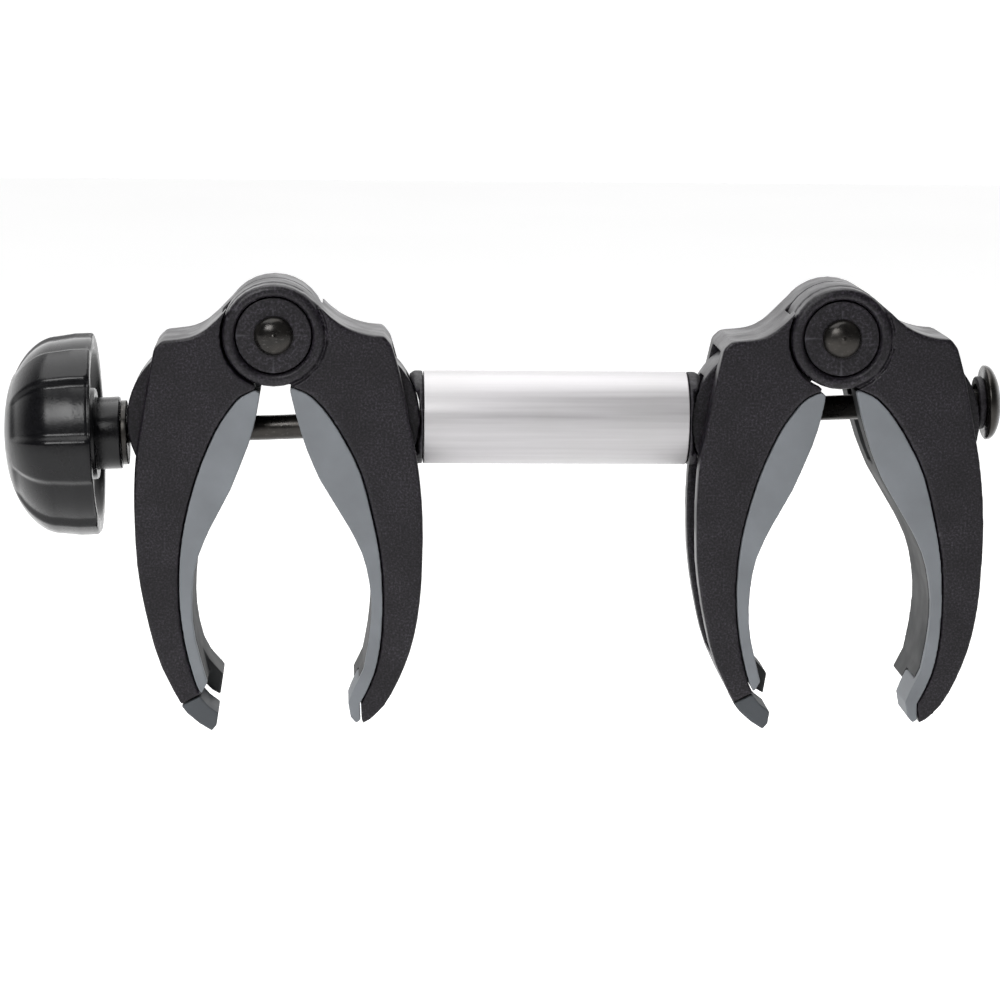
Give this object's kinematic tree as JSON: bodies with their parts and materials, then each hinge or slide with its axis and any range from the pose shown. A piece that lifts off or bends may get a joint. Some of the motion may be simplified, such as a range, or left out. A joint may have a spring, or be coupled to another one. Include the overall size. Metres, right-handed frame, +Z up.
{
  "type": "double claw clamp",
  "caption": "Double claw clamp arm: two hinged claws with grey rubber pads on a short aluminium tube, closed together by one fluted hand knob on a through bolt.",
  "frame": {"origin": "centre of the whole arm's bounding box", "axes": "+X along the spacer tube from the knob to the bolt head, +Y from the front face with the hub discs to the back, +Z up from the claw tips to the hinges"},
  "size_m": [0.323, 0.0654, 0.1452],
  "materials": {
    "shell": "fine moulded grain, dark charcoal, slightly worn edges",
    "pad_rubber": "mid grey, smooth, matt",
    "tip_rubber": "dark grey, smooth, matt",
    "liner_rubber": "very dark grey, smooth, matt",
    "tube": "satin, drawn along its length",
    "plug": "fine moulded grain, charcoal",
    "knob": "satin gloss black",
    "dark_steel": "blackened, lightly scratched"
  },
  "bodies": {
    "frame": {"spacer_tube": "tube", "left_tube_plug": "plug", "right_tube_plug": "plug"},
    "left_inner": {"left_inner_jaw": "shell", "left_inner_pad": "pad_rubber", "left_inner_liner": "liner_rubber", "left_hub_disc": "plug", "left_rear_washer": "dark_steel", "left_hinge_pin": "dark_steel"},
    "left_outer": {"left_outer_jaw": "shell", "left_outer_pad": "pad_rubber", "left_outer_liner": "liner_rubber", "left_outer_tip": "tip_rubber"},
    "right_inner": {"right_inner_jaw": "shell", "right_inner_pad": "pad_rubber", "right_inner_liner": "liner_rubber", "right_inner_tip": "tip_rubber"},
    "right_outer": {"right_outer_jaw": "shell", "right_outer_pad": "pad_rubber", "right_outer_liner": "liner_rubber", "right_hub_disc": "plug", "right_rear_washer": "dark_steel", "right_hinge_pin": "dark_steel"},
    "bolt": {"through_bolt": "dark_steel", "head_washer": "plug"},
    "thrust": {"thrust_washer": "dark_steel"},
    "knob": {"knob_shell": "knob", "knob_sleeve": "knob", "knob_nut": "dark_steel"}
  },
  "joints": [
    {"name": "left_inner_swing", "type": "hinge", "parent": "frame", "child": "left_inner", "pos_m": [-0.05435, 0, 0.02766], "axis": [0, 1, 0], "range_deg": [-3.2, 9.2]},
    {"name": "left_outer_swing", "type": "hinge", "parent": "left_inner", "child": "left_outer", "pos_m": [-0.07495, 0, 0.05586], "axis": [0, -1, 0], "range_deg": [-6.4, 18.4]},
    {"name": "right_inner_swing", "type": "hinge", "parent": "frame", "child": "right_inner", "pos_m": [0.08605, 0, 0.02766], "axis": [0, -1, 0], "range_deg": [-3.2, 9.2]},
    {"name": "right_outer_swing", "type": "hinge", "parent": "right_inner", "child": "right_outer", "pos_m": [0.10665, 0, 0.05586], "axis": [0, 1, 0], "range_deg": [-6.4, 18.4]},
    {"name": "bolt_slide", "type": "slide", "parent": "frame", "child": "bolt", "axis": [-0.9992, 0, -0.0396], "range_m": [-0.0035, 0.0095]},
    {"name": "thrust_travel", "type": "slide", "parent": "bolt", "child": "thrust", "axis": [0.9992, 0, 0.0396], "range_m": [-0.007, 0.019]},
    {"name": "knob_turn", "type": "hinge", "parent": "thrust", "child": "knob", "pos_m": [-0.12404, 0, 0.02211], "axis": [0.9992, 0, 0.0396], "range_deg": [-1767, 5302]}
  ],
  "couplings": [
    {"joint": "left_inner_swing", "follows": "knob_turn", "ratio": 0.0016975},
    {"joint": "left_outer_swing", "follows": "knob_turn", "ratio": 0.0033949},
    {"joint": "right_inner_swing", "follows": "knob_turn", "ratio": 0.0016975},
    {"joint": "right_outer_swing", "follows": "knob_turn", "ratio": 0.0033949},
    {"joint": "bolt_slide", "follows": "knob_turn", "m_per_rad": 0.000099472},
    {"joint": "thrust_travel", "follows": "knob_turn", "m_per_rad": 0.00019894}
  ]
}
